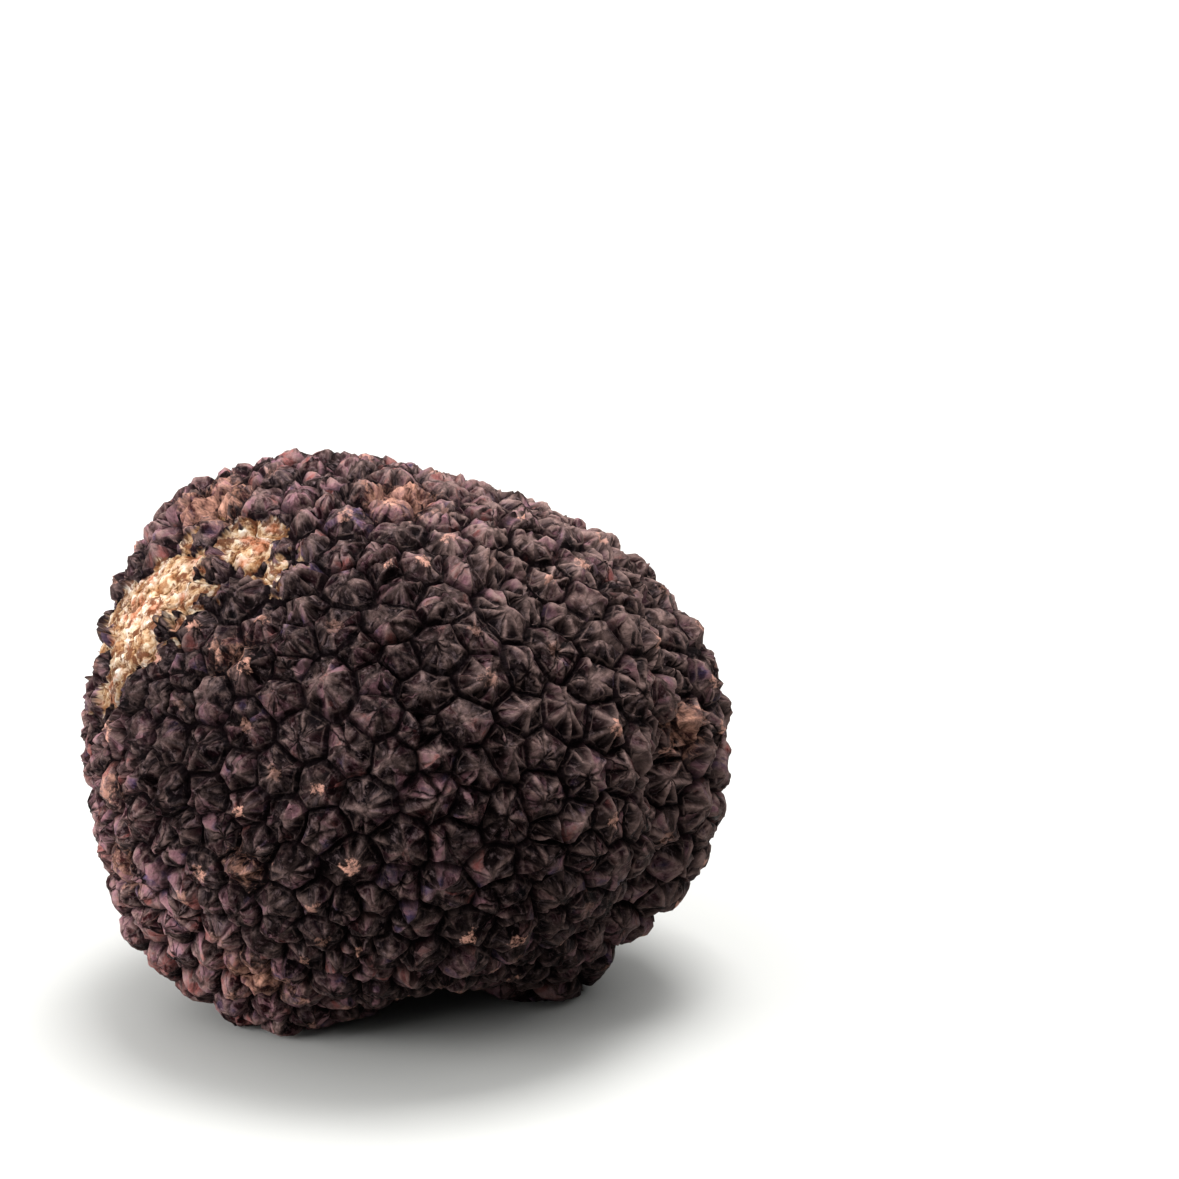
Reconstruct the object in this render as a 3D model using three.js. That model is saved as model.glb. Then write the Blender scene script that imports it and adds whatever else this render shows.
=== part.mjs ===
// A whole black truffle, as dug up: one solid fruiting body. Its lumpy form carries a close-set skin of
// low, many-sided pyramid warts, raised from the body by a rule. In two places the warts are rubbed away,
// down to the flesh. It rests on three blunt feet, whose lowest warts are pressed level with the surface.
//
// Millimetres, +Z up, front towards -Y, longest way along X. The origin is on the surface that it rests
// on, at the middle of its outline.

import * as THREE from "three";
import { ConvexHull } from "three/addons/math/ConvexHull.js";

// ---- Driving dimensions -------------------------------------------------------------------------------

// The smooth body under the warts: half its length, depth and height, and how far its middle stands
// above the surface.
const HALF_LENGTH = 32.2;
const HALF_DEPTH = 29.6;
const HALF_HEIGHT = 27.6;
const MIDDLE_HEIGHT = 28.8;

// Swellings (rise above 0) and dips (below 0) of the body. Each lies towards a direction seen from the
// body's middle, and fades with the angle away from it: breadth is that angle in degrees.
const LOBES = [
  { at: "crown, left", towards: [-0.66, 0.22, 0.72], rise: 4.3, breadth: 25 },
  { at: "crown, middle", towards: [-0.2, 0.32, 0.93], rise: 1.2, breadth: 20 },
  { at: "crown, right dip", towards: [0.34, 0.29, 0.89], rise: -0.9, breadth: 22 },
  { at: "shoulder, left front", towards: [-0.78, -0.55, 0.3], rise: 1.0, breadth: 24 },
  { at: "lower left", towards: [-0.72, -0.2, -0.66], rise: 4.3, breadth: 21 },
  { at: "front", towards: [0.12, -0.98, 0.1], rise: 1.8, breadth: 34 },
  { at: "right end", towards: [0.96, 0.22, 0.02], rise: 1.9, breadth: 26 },
  { at: "lower right", towards: [0.88, 0.02, -0.44], rise: 3.0, breadth: 17 },
  { at: "back, right", towards: [0.5, 0.84, 0.12], rise: 1.6, breadth: 24 },
  { at: "back, left dip", towards: [-0.52, 0.84, -0.1], rise: -1.8, breadth: 20 },
  { at: "back, low", towards: [-0.1, 0.88, -0.42], rise: 1.8, breadth: 20 },
  { at: "foot, front left", towards: [-0.38, -0.28, -0.88], rise: 3.4, breadth: 15 },
  { at: "foot, right", towards: [0.52, 0.0, -0.85], rise: 5.4, breadth: 13 },
  { at: "foot, back", towards: [-0.1, 0.5, -0.86], rise: 5.2, breadth: 14 },
  { at: "hollow under the front", towards: [0.16, -0.42, -0.9], rise: -3.0, breadth: 14 },
  { at: "hollow in the middle", towards: [0.02, 0.06, -1], rise: -2.6, breadth: 15 },
];

// Folds where two lobes meet: an arc from one direction to another, so deep in millimetres at its line
// and fading over breadth degrees to each side.
const FOLDS = [
  { at: "right, upper", from: [0.84, -0.05, 0.54], to: [0.89, -0.45, 0.02], depth: 1.3, breadth: 7 },
  { at: "right, lower", from: [0.89, -0.45, 0.02], to: [0.8, -0.3, -0.52], depth: 2.3, breadth: 7 },
  { at: "crown, right", from: [0.5, -0.42, 0.76], to: [0.58, -0.74, 0.34], depth: 0.9, breadth: 6 },
  { at: "right foot", from: [0.85, -0.4, -0.45], to: [0.5, -0.62, -0.65], depth: 1.8, breadth: 8 },
  { at: "back", from: [0.1, 0.86, 0.5], to: [0.05, 0.72, -0.7], depth: 1.9, breadth: 9 },
  { at: "left end", from: [-0.93, 0.32, 0.3], to: [-0.9, 0.3, -0.4], depth: 1.1, breadth: 8 },
];

// Slow unevenness between the lobes.
const UNEVEN_RISE = 0.4;
const UNEVEN_WAVES = 7;

// The warts: how many cover the body, the height of an average one over its groove, and how far the
// groove lies under the smooth body.
const WART_COUNT = 640;
const WART_HEIGHT = 1.9;
const GROOVE_DEPTH = 0.85;
// A wart's flank climbs from the groove to this share of its height, over this share of the way in.
const SHOULDER_SHARE = 0.64;
const SHOULDER_INSET = 0.29;
// Spread of the warts' heights, and of their tips away from the middle, each as a share.
const HEIGHT_SPREAD = 0.2;
const TIP_LEAN = 0.2;

// The warts' places. The spiral's even spacing is shaken by this share, and evened out by so many
// rounds. The warts are finer towards FINER_SIDE: the shift sets how much.
const LAYOUT_SEED = 11;
const SHAKE = 1.0;
const EVENING_ROUNDS = 1;
const FINER_SIDE = new THREE.Vector3(-0.75, 0.1, -0.65).normalize();
const FINER_SHIFT = 0.1;
// Between 0, a corner in the middle of its three warts, and 1, one equally far from them.
const CORNER_SHARPNESS = 0.55;

// Rubbed places, where the warts are worn down to low stumps and the surface is sunk by RUBBED_SINK.
// The wear fades out over RUBBED_EDGE degrees, half of them outside a place's breadth.
const RUBBED_PATCHES = [
  { at: "left shoulder", towards: [-0.84, -0.35, 0.41], breadth: 9 },
  { at: "left shoulder, upper", towards: [-0.77, -0.26, 0.58], breadth: 6.5 },
  { at: "left shoulder, strip to the crown", towards: [-0.7, -0.15, 0.7], breadth: 4 },
  { at: "crown", towards: [-0.49, -0.38, 0.79], breadth: 6 },
];
const RUBBED_EDGE = 3;
const RUBBED_SINK = 0.55;
const RUBBED_HEIGHT_SHARE = 0.22;

const SKIN = { color: 0x2b1f1e, roughness: 0.62, metalness: 0 };

// ---- The body's form ----------------------------------------------------------------------------------

/** The angle in degrees between two unit directions. */
function degreesBetween(a, b) {
  return THREE.MathUtils.radToDeg(a.angleTo(b));
}

/** A smooth bump: 1 at angle 0, fading over breadth. */
function fade(angle, breadth) {
  return Math.exp(-((angle / breadth) ** 2));
}

/** The angle in degrees from a direction to the nearest point of an arc between two directions. */
function degreesFromArc(direction, from, to) {
  const length = degreesBetween(from, to);
  const pole = new THREE.Vector3().crossVectors(from, to).normalize();
  const across = 90 - degreesBetween(direction, pole);
  const foot = direction.clone().addScaledVector(pole, -direction.dot(pole)).normalize();
  const beyond = Math.max(degreesBetween(foot, from), degreesBetween(foot, to)) - length;
  return Math.hypot(across, Math.max(beyond, 0));
}

/** A table row with its directions made unit vectors. */
function withUnitDirections(row) {
  const made = { ...row };
  for (const key of ["towards", "from", "to"]) {
    if (row[key]) made[key] = new THREE.Vector3(...row[key]).normalize();
  }
  return made;
}

const lobes = LOBES.map(withUnitDirections);
const folds = FOLDS.map(withUnitDirections);
const rubbedPatches = RUBBED_PATCHES.map(withUnitDirections);

/** How far the smooth body reaches from its middle, towards a unit direction. */
function bodyRadius(direction) {
  const { x, y, z } = direction;
  let radius = 1 / Math.hypot(x / HALF_LENGTH, y / HALF_DEPTH, z / HALF_HEIGHT);
  for (const { towards, rise, breadth } of lobes) {
    radius += rise * fade(degreesBetween(direction, towards), breadth);
  }
  for (const { from, to, depth, breadth } of folds) {
    radius -= depth * fade(degreesFromArc(direction, from, to), breadth);
  }
  const waves = Math.sin(UNEVEN_WAVES * x + 1) * Math.sin(UNEVEN_WAVES * y + 2) * Math.sin(UNEVEN_WAVES * z);
  return radius + UNEVEN_RISE * waves;
}

/** The smooth body's surface point towards a direction, and its outward normal there. */
function bodySurface(direction) {
  const step = 0.02;
  const side = new THREE.Vector3(0, 0, 1).cross(direction);
  if (side.lengthSq() < 1e-4) side.set(1, 0, 0);
  side.normalize();
  const up = new THREE.Vector3().crossVectors(direction, side);
  const pointAt = (d) => d.clone().multiplyScalar(bodyRadius(d));
  const along = (axis) => {
    const ahead = pointAt(direction.clone().addScaledVector(axis, step).normalize());
    const behind = pointAt(direction.clone().addScaledVector(axis, -step).normalize());
    return ahead.sub(behind);
  };
  return { point: pointAt(direction), normal: along(side).cross(along(up)).normalize() };
}

/** How far the skin is rubbed away towards a direction, from 0, whole, to 1, bare. */
function rubbed(direction) {
  let most = 0;
  for (const { towards, breadth } of rubbedPatches) {
    const inside = breadth + RUBBED_EDGE / 2 - degreesBetween(direction, towards);
    most = Math.max(most, THREE.MathUtils.smoothstep(inside, 0, RUBBED_EDGE));
  }
  return most;
}

// ---- The warts' layout --------------------------------------------------------------------------------

/** A seeded generator of numbers from 0 to 1 (mulberry32). */
function seededRandom(seed) {
  let state = seed;
  return () => {
    state = (state + 0x6d2b79f5) | 0;
    let t = Math.imul(state ^ (state >>> 15), 1 | state);
    t = (t + Math.imul(t ^ (t >>> 7), 61 | t)) ^ t;
    return ((t ^ (t >>> 14)) >>> 0) / 2 ** 32;
  };
}

/** Starting places of the warts: a golden-angle spiral, shaken, and drawn towards the finer side. */
function spiralDirections(random) {
  const goldenAngle = Math.PI * (3 - Math.sqrt(5));
  const spacing = Math.sqrt((4 * Math.PI) / WART_COUNT);
  const shake = () => (random() - 0.5) * 2 * SHAKE * spacing * 0.5;
  return Array.from({ length: WART_COUNT }, (_, i) => {
    const z = 1 - (2 * i + 1) / WART_COUNT;
    const ring = Math.sqrt(1 - z * z);
    const turn = goldenAngle * i;
    const place = new THREE.Vector3(ring * Math.cos(turn), ring * Math.sin(turn), z);
    place.add(new THREE.Vector3(shake(), shake(), shake()));
    return place.normalize().addScaledVector(FINER_SIDE, FINER_SHIFT).normalize();
  });
}

/** Triangles between neighbouring places, as index triples that run counter-clockwise from outside. */
function trianglesBetween(places) {
  const indexOf = new Map(places.map((place, i) => [place, i]));
  return new ConvexHull().setFromPoints(places).faces.map((face) => {
    const edges = [face.edge, face.edge.next, face.edge.next.next];
    return edges.map((edge) => indexOf.get(edge.head().point));
  });
}

/** The groove corner where three warts meet. */
function cornerBetween(places, [a, b, c]) {
  const middle = new THREE.Vector3().add(places[a]).add(places[b]).add(places[c]).normalize();
  const ab = new THREE.Vector3().subVectors(places[b], places[a]);
  const ac = new THREE.Vector3().subVectors(places[c], places[a]);
  return middle.lerp(ab.cross(ac).normalize(), CORNER_SHARPNESS).normalize();
}

/** Each wart's corners, counter-clockwise from outside, as indices into the list of triangles. */
function cornersAround(triangles, count) {
  const after = new Map();
  triangles.forEach(([a, b, c], t) => {
    for (const [from, to, last] of [[a, b, c], [b, c, a], [c, a, b]]) {
      after.set(`${from},${to}`, { t, last });
    }
  });
  const firstNeighbour = new Map(triangles.flatMap(([a, b, c]) => [[a, b], [b, c], [c, a]]));
  return Array.from({ length: count }, (_, wart) => {
    const loop = [];
    const start = firstNeighbour.get(wart);
    let neighbour = start;
    do {
      const { t, last } = after.get(`${wart},${neighbour}`);
      loop.push(t);
      neighbour = last;
    } while (neighbour !== start);
    return loop;
  });
}

/** The finished layout: wart centres, groove corners and each wart's loop of corners. */
function wartLayout(random) {
  let centres = spiralDirections(random);
  for (let round = 0; ; round += 1) {
    const places = centres;
    const triangles = trianglesBetween(places);
    const corners = triangles.map((triangle) => cornerBetween(places, triangle));
    const loops = cornersAround(triangles, WART_COUNT);
    if (round === EVENING_ROUNDS) return { centres, corners, loops };
    centres = loops.map((loop) => {
      const sum = new THREE.Vector3();
      for (const corner of loop) sum.add(corners[corner]);
      return sum.normalize();
    });
  }
}

// ---- The warty solid ----------------------------------------------------------------------------------

/** A point so far above or below the smooth body, set down on the surface that the truffle rests on. */
function skinPoint(direction, height) {
  const { point, normal } = bodySurface(direction);
  point.addScaledVector(normal, height);
  point.z = Math.max(point.z + MIDDLE_HEIGHT, 0);
  return point;
}

/** A wart's tip and shoulders: its direction, its height over the groove and how far it is rubbed. */
function wartShape(centre, cornerDirections, random) {
  const wear = rubbed(centre);
  const whole = WART_HEIGHT * (1 + HEIGHT_SPREAD * (2 * random() - 1));
  const lean = cornerDirections[Math.floor(random() * cornerDirections.length)];
  return {
    tip: centre.clone().lerp(lean, TIP_LEAN * random() * (1 - wear)).normalize(),
    height: whole * THREE.MathUtils.lerp(1, RUBBED_HEIGHT_SHARE, wear),
    wear,
  };
}

/** The height of a groove's bottom over the smooth body: between stumps it is a shallow one. */
function grooveHeight(direction) {
  const stumpHeight = WART_HEIGHT * RUBBED_HEIGHT_SHARE;
  return -THREE.MathUtils.lerp(GROOVE_DEPTH, RUBBED_SINK + stumpHeight / 2, rubbed(direction));
}

function truffleGeometry() {
  const random = seededRandom(LAYOUT_SEED);
  const { centres, corners, loops } = wartLayout(random);
  const points = corners.map((direction) => skinPoint(direction, grooveHeight(direction)));
  const triangles = [];
  const add = (direction, height) => points.push(skinPoint(direction, height)) - 1;

  loops.forEach((loop, wart) => {
    const around = loop.map((corner) => corners[corner]);
    const { tip, height, wear } = wartShape(centres[wart], around, random);
    const foot = -THREE.MathUtils.lerp(GROOVE_DEPTH, RUBBED_SINK, wear);
    const top = add(tip, foot + height);
    const shoulders = around.map((corner) =>
      add(corner.clone().lerp(tip, SHOULDER_INSET).normalize(), foot + height * SHOULDER_SHARE));
    loop.forEach((corner, i) => {
      const next = (i + 1) % loop.length;
      triangles.push(top, shoulders[i], shoulders[next]);
      triangles.push(shoulders[i], corner, loop[next]);
      triangles.push(shoulders[i], loop[next], shoulders[next]);
    });
  });

  const geometry = new THREE.BufferGeometry().setFromPoints(points).setIndex(triangles);
  geometry.computeBoundingBox();
  const middle = geometry.boundingBox.getCenter(new THREE.Vector3());
  geometry.translate(-middle.x, -middle.y, 0);
  geometry.computeVertexNormals();
  return geometry;
}

const truffle = new THREE.Mesh(truffleGeometry(), new THREE.MeshStandardMaterial(SKIN));
truffle.name = "truffle";

const group = new THREE.Group();
group.add(truffle);

export default group;
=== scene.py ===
"""The looks of a whole black truffle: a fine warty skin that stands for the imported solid, on a pale floor.

The solid gives the truffle's form and every wart's outline, tip and height. The skin keeps them, and a
Geometry Nodes tree adds what grows on them: rounded flanks, cracks that run out from each tip, worn tips,
and the crumbly flesh where warts are rubbed away. Metres, +Z up, front towards -Y, as in the solid.
"""

import math
import random

import bmesh
import bpy
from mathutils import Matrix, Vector


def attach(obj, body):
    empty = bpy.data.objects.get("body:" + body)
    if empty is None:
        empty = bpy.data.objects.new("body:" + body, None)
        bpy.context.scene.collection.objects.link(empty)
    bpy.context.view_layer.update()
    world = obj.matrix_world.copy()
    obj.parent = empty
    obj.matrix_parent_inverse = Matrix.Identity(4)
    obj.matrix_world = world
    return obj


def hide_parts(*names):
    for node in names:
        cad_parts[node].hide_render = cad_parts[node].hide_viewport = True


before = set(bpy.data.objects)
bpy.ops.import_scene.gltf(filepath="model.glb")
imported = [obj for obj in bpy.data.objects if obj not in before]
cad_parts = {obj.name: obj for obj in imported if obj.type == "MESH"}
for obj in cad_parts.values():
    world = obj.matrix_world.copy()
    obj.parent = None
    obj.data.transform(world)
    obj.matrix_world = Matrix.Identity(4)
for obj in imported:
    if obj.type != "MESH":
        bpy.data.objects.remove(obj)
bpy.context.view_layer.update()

MM = 0.001
SEED = 7
# The middle of three values that each go from 0 to 1.
HALF = (0.5, 0.5, 0.5)

# How broken up a noise is: how many finer waves ride on its own, and how strong they are.
SMOOTH = {"detail": 1.0}
CRUMBLY = {"detail": 3.0, "roughness": 0.6}
HOLED = {"detail": 3.0, "roughness": 0.75}
ROUGH = {"detail": 4.0, "roughness": 0.7}
ROUGHEST = {"detail": 5.0, "roughness": 0.7}

# ---- What the solid gives -------------------------------------------------------------------------------

# A wart's shoulder in the solid: how far in from the groove it stands, and its share of the height.
SHOULDER_INSET = 0.29
SHOULDER_SHARE = 0.64
# How many edges meet at a groove's corner. Of all other points, only a tip may have as many.
CORNER_EDGES = 9
# Points closer than this are one point.
MERGE_REACH = 0.01 * MM
# The middle that directions are taken from.
MIDDLE = Vector((0, 0, 28.8)) * MM

# ---- Places on the skin ---------------------------------------------------------------------------------

# Places where the skin is rubbed off down to the flesh: direction from the middle, and half their breadth
# in degrees. The solid's warts are worn down to stumps there.
BARE_PLACES = [
    ((-0.83, -0.26, 0.50), 12.5),
    ((-0.75, -0.25, 0.62), 10.5),
    ((-0.69, -0.15, 0.71), 6.0),
    ((-0.88, -0.12, 0.45), 7.0),
    ((-0.93, -0.29, 0.24), 4.0),
    ((-0.51, -0.34, 0.79), 7.5),
    ((-0.42, -0.46, 0.78), 6.5),
    ((-0.56, -0.53, 0.64), 2.5),
    ((-0.95, -0.02, 0.31), 8.0),
    ((-0.72, -0.39, 0.57), 5.0),
]
# Places where the skin is only scuffed brown.
SCUFFED_PLACES = [
    ((-0.61, -0.01, 0.80), 8.0),
    ((-0.89, -0.45, 0.01), 3.5),
    ((-0.48, -0.87, -0.14), 4.0),
    ((-0.86, -0.44, -0.27), 5.0),
    ((-0.53, -0.67, 0.52), 4.0),
    ((0.95, -0.28, 0.13), 6.0),
    ((0.00, -0.16, 0.99), 9.0),
    ((-0.48, -0.61, -0.63), 7.5),
    ((0.30, 0.86, 0.42), 8.0),
    ((0.55, 0.60, -0.58), 7.0),
]

# The ragged edge of a bare place: the size of its notches, how far they reach, how far a whole wart may
# stand in or out of it, and how wide the step down from skin to flesh is.
RAGGED_SIZE = 2.0 * MM
RAGGED_REACH = 8.0 * MM
WHOLE_WART_REACH = 3.0 * MM
BARE_EDGE_WIDTH = 0.5 * MM

# ---- Sizes of the relief --------------------------------------------------------------------------------

# The chips that the skin breaks into, finer than a wart's chunks, and the crumbs of bare flesh.
CHIP_SIZE = 0.95 * MM
CRUMB_SIZE = 0.95 * MM

# The chunks that cracks part a wart into: about how many fill one radian, how far the cracks bend and over
# what size, and how far from the tip their hub may lie.
CHUNKS_ROUND = 1.3
WARP_REACH = 0.6 * MM
WARP_SIZE = 1.5 * MM
HUB_REACH = 0.5 * MM

# A groove runs wider and narrower along its way, over this size. The middle of that change is set a little
# high, which widens grooves on the whole.
NARROWING_SIZE = 3.5 * MM
NARROWING_MIDDLE = 0.53

# Skin is cracked in some places and whole in others, over this size: where cracks start and are full.
CRACKED_SIZE = 2.4 * MM
CRACKED = {"From Min": 0.35, "From Max": 0.6}

# The low warts are pressed rounder by the soil that they grew in: by height, the share of the relief that
# they keep.
SHARPNESS = {"From Min": 10.0 * MM, "From Max": 32.0 * MM, "To Min": 0.45}

# A wart's height, as a share of the tip's, against the way in from its groove to its tip: in the solid, on
# a domed wart and on a peaked one.
SOLID_PROFILE = [(0, 0), (1, 1), (SHOULDER_INSET, SHOULDER_SHARE)]
DOMED_PROFILE = [(0, 0), (1, 0.95), (0.05, 0.22), (0.13, 0.44), (0.29, 0.7), (0.6, 0.88)]
PEAKED_PROFILE = [(0, 0), (1, 0.95), (0.05, 0.18), (0.14, 0.36), (0.5, 0.7), (0.8, 0.92)]
# How deep a crack runs and how far a chunk stands out, against the same way in.
CRACK_ALONG = [(0, 0), (1, 0.4), (0.1, 0.3), (0.3, 0.9), (0.8, 1)]
STEP_ALONG = [(0, 0), (1, 0), (0.1, 0.4), (0.3, 1), (0.7, 0.9)]

# What else goes by the way in: the groove, what stands clear of it, the facets, which flatten towards the
# tip, and the summit, whose edge the crumble makes ragged by so much.
GROOVE = {"From Max": 0.2, "To Min": 1.0, "To Max": 0.0}
CLEAR_OF_GROOVE = {"From Max": 0.3}
BELOW_TIP = {"From Min": 0.55, "From Max": 1.0, "To Min": 1.0, "To Max": 0.0}
SUMMIT = {"From Min": 0.5, "From Max": 0.8}
SUMMIT_RAGGED = 0.7

# The draws that give a wart a crater, shallow to deep, and the one above which it is split: one in five.
CRATERED = {"From Min": 0.45, "From Max": 0.0}
SPLIT_ABOVE = 0.8
# The higher, the narrower is a ridge between two facets.
RIDGE_POWER = 4.0
# A facet sinks by the product of its two sides' shares, a quarter in its middle, which this brings to 1.
FACET_SCALE = 4.0

# Each wart draws its numbers from its own lot, times this.
LOT_SPREAD = 50.0
# No wart counts as lower than this.
LEAST_HEIGHT = 0.1 * MM

# What the relief tree is given, by name: the kind of socket and the value. Lengths are in metres.
RELIEF = {
    # Sideways wander of grooves and flanks, and the size of its waves.
    "Wander": ("Float", 0.42 * MM),
    "Wander size": ("Float", 2.6 * MM),
    # How much wider or narrower than usual a groove runs, as a share of the way in to the tip.
    "Groove change": ("Float", 0.32),
    # How far a facet sinks between the ridges that run from the tip to the wart's corners.
    "Facet sink": ("Float", 1.0 * MM),
    # Cracks that run out from a wart's tip and part it into chunks: depth, half width, and how far one
    # chunk stands above the next.
    "Crack depth": ("Float", 0.5 * MM),
    "Crack half width": ("Float", 0.34 * MM),
    "Chunk step": ("Float", 0.55 * MM),
    # A deep split right across some of the warts.
    "Split depth": ("Float", 0.8 * MM),
    "Split half width": ("Float", 0.3 * MM),
    # Hollow that some tips have worn into them.
    "Crater depth": ("Float", 0.6 * MM),
    # Grain of the skin, and the coarser crumble of the tips.
    "Grain height": ("Float", 0.26 * MM),
    "Grain size": ("Float", 0.9 * MM),
    "Crumble height": ("Float", 0.2 * MM),
    "Crumble size": ("Float", 1.3 * MM),
    # The bare flesh: how high its stumps stand, and its crumbs and pits.
    "Stump height": ("Float", 0.5 * MM),
    "Crumb height": ("Float", 1.4 * MM),
    "Seed": ("Float", float(SEED)),
    "Skin": ("Material", None),
}

# Each of the solid's triangles is cut into this many rows before the relief is raised, and the finished
# skin is then thinned to this many triangles, which keeps the fine ones where the relief is sharp.
ROWS = 8
SKIN_TRIANGLES = 196000

# ---- Making nodes ---------------------------------------------------------------------------------------


def colour(hex_value):
    """A linear colour from an sRGB hex value, such as 0x2b1f1e."""
    channels = [(hex_value >> shift & 255) / 255 for shift in (16, 8, 0)]
    linear = [c / 12.92 if c <= 0.04045 else ((c + 0.055) / 1.055) ** 2.4 for c in channels]
    return (*linear, 1.0)


def add(tree, kind, inputs=None, curve=None, stops=None, **settings):
    """Adds a node with its settings, and sets or links its inputs, which are found by name or place.

    curve holds a float curve's points, and stops a colour ramp's places and hex colours. In both, the two
    ends come first."""
    made = tree.nodes.new(kind)
    for name, value in settings.items():
        setattr(made, name, value)
    for place, point in enumerate(curve or []):
        points = made.mapping.curves[0].points
        if place < 2:
            points[place].location = point
        else:
            points.new(*point)
    for place, (at, hex_value) in enumerate(stops or []):
        elements = made.color_ramp.elements
        element = elements[place] if place < 2 else elements.new(at)
        element.position = at
        element.color = colour(hex_value)
    sockets = [socket for socket in made.inputs if socket.enabled]
    for key, value in (inputs or {}).items():
        socket = sockets[key] if isinstance(key, int) else next(s for s in sockets if s.name == key)
        if isinstance(value, bpy.types.Node):
            value = next(output for output in value.outputs if output.enabled)
        if isinstance(value, bpy.types.NodeSocket):
            tree.links.new(value, socket)
        else:
            socket.default_value = value
    return made


# ---- The skin's plain mesh, from the solid --------------------------------------------------------------


def inside_places(point, places):
    """How far a point lies inside the nearest of some places, along the surface. Outside is negative."""
    away = point - MIDDLE
    gaps = [math.radians(breadth) - away.angle(Vector(towards)) for towards, breadth in places]
    return max(gaps) * away.length


def by_place(at):
    """A key that sorts points by where they are, to a hundredth of a millimetre."""
    return tuple(round(c / MM, 2) for c in at)


def wart_cells(mesh):
    """The solid's warts: for each, its tip, shoulders and triangles, found from how edges meet.

    A tip touches no corner of a groove, and every other point is a shoulder, between the tip and the
    groove."""
    corners = {v for v in mesh.verts if len(v.link_edges) == CORNER_EDGES}
    tips = [v for v in mesh.verts if not any(e.other_vert(v) in corners for e in v.link_edges)]
    corners -= set(tips)
    cells = []
    for tip in sorted(tips, key=lambda v: by_place(v.co)):
        shoulders = {e.other_vert(tip) for e in tip.link_edges}
        faces = sorted({f for s in shoulders for f in s.link_faces}, key=lambda f: f.index)
        cells.append((tip, shoulders, faces))
    return corners, cells


def mark_facets(tip, shoulders, faces, corners, layers, lots):
    """Marks the two edges of each of a wart's facets, which run from the tip to neighbouring corners.

    It gives each facet a number of its own, too, from 0 to 1."""
    side_a, side_b, facet_lot = layers
    below = {}
    for shoulder in shoulders:
        around = [e.other_vert(shoulder) for e in shoulder.link_edges]
        below[shoulder] = min((v for v in around if v in corners),
                              key=lambda v: (v.co - shoulder.co).length)
    facets = {}
    for face in faces:
        feet = frozenset(below.get(v, v) for v in face.verts if v is not tip)
        facets.setdefault(feet, []).append(face)
    for feet in sorted(facets, key=lambda feet: by_place(sum((v.co for v in feet), Vector()))):
        lot = lots.random()
        for face in facets[feet]:
            face[facet_lot] = lot
    for face in faces:
        loops = {loop.vert: loop for loop in face.loops}
        low = [v for v in loops if v in corners]
        high = [v for v in loops if v in shoulders]
        if tip in loops:
            pairs = [(high[0], side_a), (high[1], side_b)]
        elif len(low) == 2:
            # The shoulder stands over one of the two corners.
            near = min(low, key=lambda v: (v.co - high[0].co).length)
            far = low[1] if near is low[0] else low[0]
            pairs = [(high[0], side_a), (near, side_a), (far, side_b)]
        else:
            near = min(high, key=lambda v: (v.co - low[0].co).length)
            far = high[1] if near is high[0] else high[0]
            pairs = [(far, side_a), (near, side_b), (low[0], side_b)]
        for vert, side in pairs:
            loops[vert][side] = 1.0


def plain_skin(node):
    """A merged copy of the solid, cut fine, which knows the wart that each of its faces belongs to."""
    mesh = bmesh.new()
    mesh.from_mesh(node.data)
    bmesh.ops.remove_doubles(mesh, verts=mesh.verts, dist=MERGE_REACH)
    mesh.verts.index_update()
    mesh.faces.index_update()
    inset = mesh.verts.layers.float.new("inset")
    bare = mesh.verts.layers.float.new("bare")
    scuffed = mesh.verts.layers.float.new("scuffed")
    side_a = mesh.loops.layers.float.new("facet_side_a")
    side_b = mesh.loops.layers.float.new("facet_side_b")
    tip_at = mesh.faces.layers.float_vector.new("wart_tip")
    up_at = mesh.faces.layers.float_vector.new("wart_up")
    height_at = mesh.faces.layers.float.new("wart_height")
    lot_at = mesh.faces.layers.float.new("wart_lot")
    facet_lot = mesh.faces.layers.float.new("facet_lot")
    corners, cells = wart_cells(mesh)
    for vert in mesh.verts:
        vert[bare] = inside_places(vert.co, BARE_PLACES)
        vert[scuffed] = inside_places(vert.co, SCUFFED_PLACES)
    lots = random.Random(SEED)
    facet_lots = random.Random(SEED + 1)
    for tip, shoulders, faces in cells:
        tip[inset] = 1.0
        for shoulder in shoulders:
            shoulder[inset] = SHOULDER_INSET
        rim = sorted({v for f in faces for v in f.verts if v in corners}, key=lambda v: v.index)
        middle = sum((v.co for v in rim), Vector()) / len(rim)
        up = sum((f.normal * f.calc_area() for f in faces), Vector()).normalized()
        height = max((tip.co - middle).dot(up), LEAST_HEIGHT)
        lot = lots.random()
        for face in faces:
            face[tip_at] = tip.co
            face[up_at] = up
            face[height_at] = height
            face[lot_at] = lot
        mark_facets(tip, shoulders, faces, corners, (side_a, side_b, facet_lot), facet_lots)
    bmesh.ops.subdivide_edges(mesh, edges=mesh.edges, cuts=ROWS - 1, use_grid_fill=True)
    made = bpy.data.meshes.new("truffle_skin")
    mesh.to_mesh(made)
    mesh.free()
    made.shade_smooth()
    return made


# ---- What relief and material share ---------------------------------------------------------------------


def waves(tree, place, size, seed, detail=2.0, roughness=0.5):
    """Noise of about one wave to each stretch of the given size, from 0 to 1."""
    if isinstance(size, bpy.types.NodeSocket):
        scale = add(tree, "ShaderNodeMath", {0: 1.0, 1: size}, operation="DIVIDE")
    else:
        scale = 1 / size
    return add(tree, "ShaderNodeTexNoise",
               {"Vector": place, "W": seed, "Scale": scale, "Detail": detail, "Roughness": roughness},
               noise_dimensions="4D")


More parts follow.
